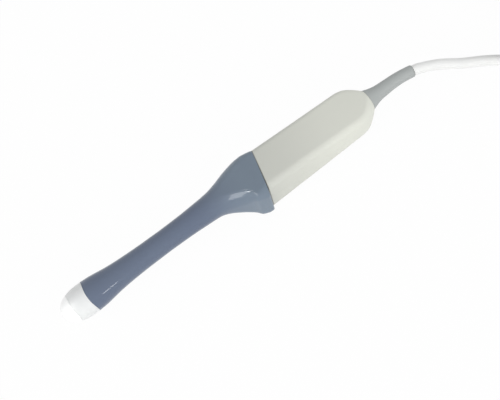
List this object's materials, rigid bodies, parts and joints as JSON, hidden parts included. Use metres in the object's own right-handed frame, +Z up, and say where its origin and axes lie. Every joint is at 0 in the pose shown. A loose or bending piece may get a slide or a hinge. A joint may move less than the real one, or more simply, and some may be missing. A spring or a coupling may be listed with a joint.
{
  "type": "ultrasound transducer probe",
  "caption": "Slim endocavity ultrasound probe: domed white nose, slate-blue shaft flaring into a bell, off-white tapered handle, grey strain relief, coiled cable, quarter-turn lock connector.",
  "frame": {"origin": "middle of the probe's own bounding box, on the floor it lies on; the cable and its connector are left out", "axes": "+X along the probe towards the lens, +Y towards the side where the bell stands proud, +Z up"},
  "size_m": [0.6259, 0.1061, 0.0515],
  "materials": {
    "lens": "smooth white silicone, slight sheen",
    "nose": "smooth light grey, satin",
    "blue_shell": "slate blue, semi gloss, fine moulded texture",
    "handle_shell": "off-white, fine matte texture",
    "grey_rubber": "mid grey, matte",
    "dark_rubber": "near black, matte",
    "cable_jacket": "white, satin",
    "copper": "bare copper",
    "steel": "plain stainless",
    "board": "green circuit board",
    "black_plastic": "black, fine texture",
    "film": "amber film",
    "ceramic": "pale, dense",
    "epoxy": "dark filled resin"
  },
  "bodies": {
    "probe_and_cable": {"acoustic_lens": "lens", "nose_ring": "nose", "shaft_shell": "blue_shell", "upper_handle_shell": "handle_shell", "lower_handle_shell": "handle_shell", "connector_upper_housing": "handle_shell", "upper_header": "handle_shell", "lower_header": "handle_shell", "strain_relief_boot": "grey_rubber", "connector_boot": "grey_rubber", "rim_seal": "dark_rubber", "coil_tie": "dark_rubber", "probe_cable": "cable_jacket", "cable_coil": "cable_jacket", "connector_lead": "cable_jacket", "cable_core": "cable_jacket", "connector_cable_end": "cable_jacket", "coax_bundle": "cable_jacket", "shield_tube": "copper", "board_screw_1": "steel", "board_screw_2": "steel", "board_screw_3": "steel", "board_screw_4": "steel", "cable_clamp_screw_1": "steel", "cable_clamp_screw_2": "steel", "crimp_ferrule": "steel", "connector_clamp_screw_1": "steel", "connector_clamp_screw_2": "steel", "housing_screw_1": "steel", "housing_screw_2": "steel", "housing_screw_3": "steel", "housing_screw_4": "steel", "shield_frame": "steel", "lock_washer": "steel", "upper_board": "board", "lower_board": "board", "interface_board": "board", "array_carrier": "black_plastic", "chassis": "black_plastic", "cable_clamp_upper": "black_plastic", "cable_clamp_lower": "black_plastic", "connector_lower_housing": "black_plastic", "connector_clamp_base": "black_plastic", "connector_clamp_cap": "black_plastic", "contact_block": "black_plastic", "upper_flex": "film", "lower_flex": "film", "inner_matching_layer": "film", "piezo_array": "ceramic", "shaft_bush": "ceramic", "outer_matching_layer": "epoxy", "backing_block": "epoxy"},
    "lock": {"lock_knob": "blue_shell", "lock_shaft": "steel", "lock_collar": "steel", "knob_screw": "steel"}
  },
  "joints": [
    {"name": "lock_turn", "type": "hinge", "parent": "probe_and_cable", "child": "lock", "pos_m": [-0.42167, 0.05565, 0.042], "axis": [0, 0, 1], "range_deg": [0, 90]}
  ]
}
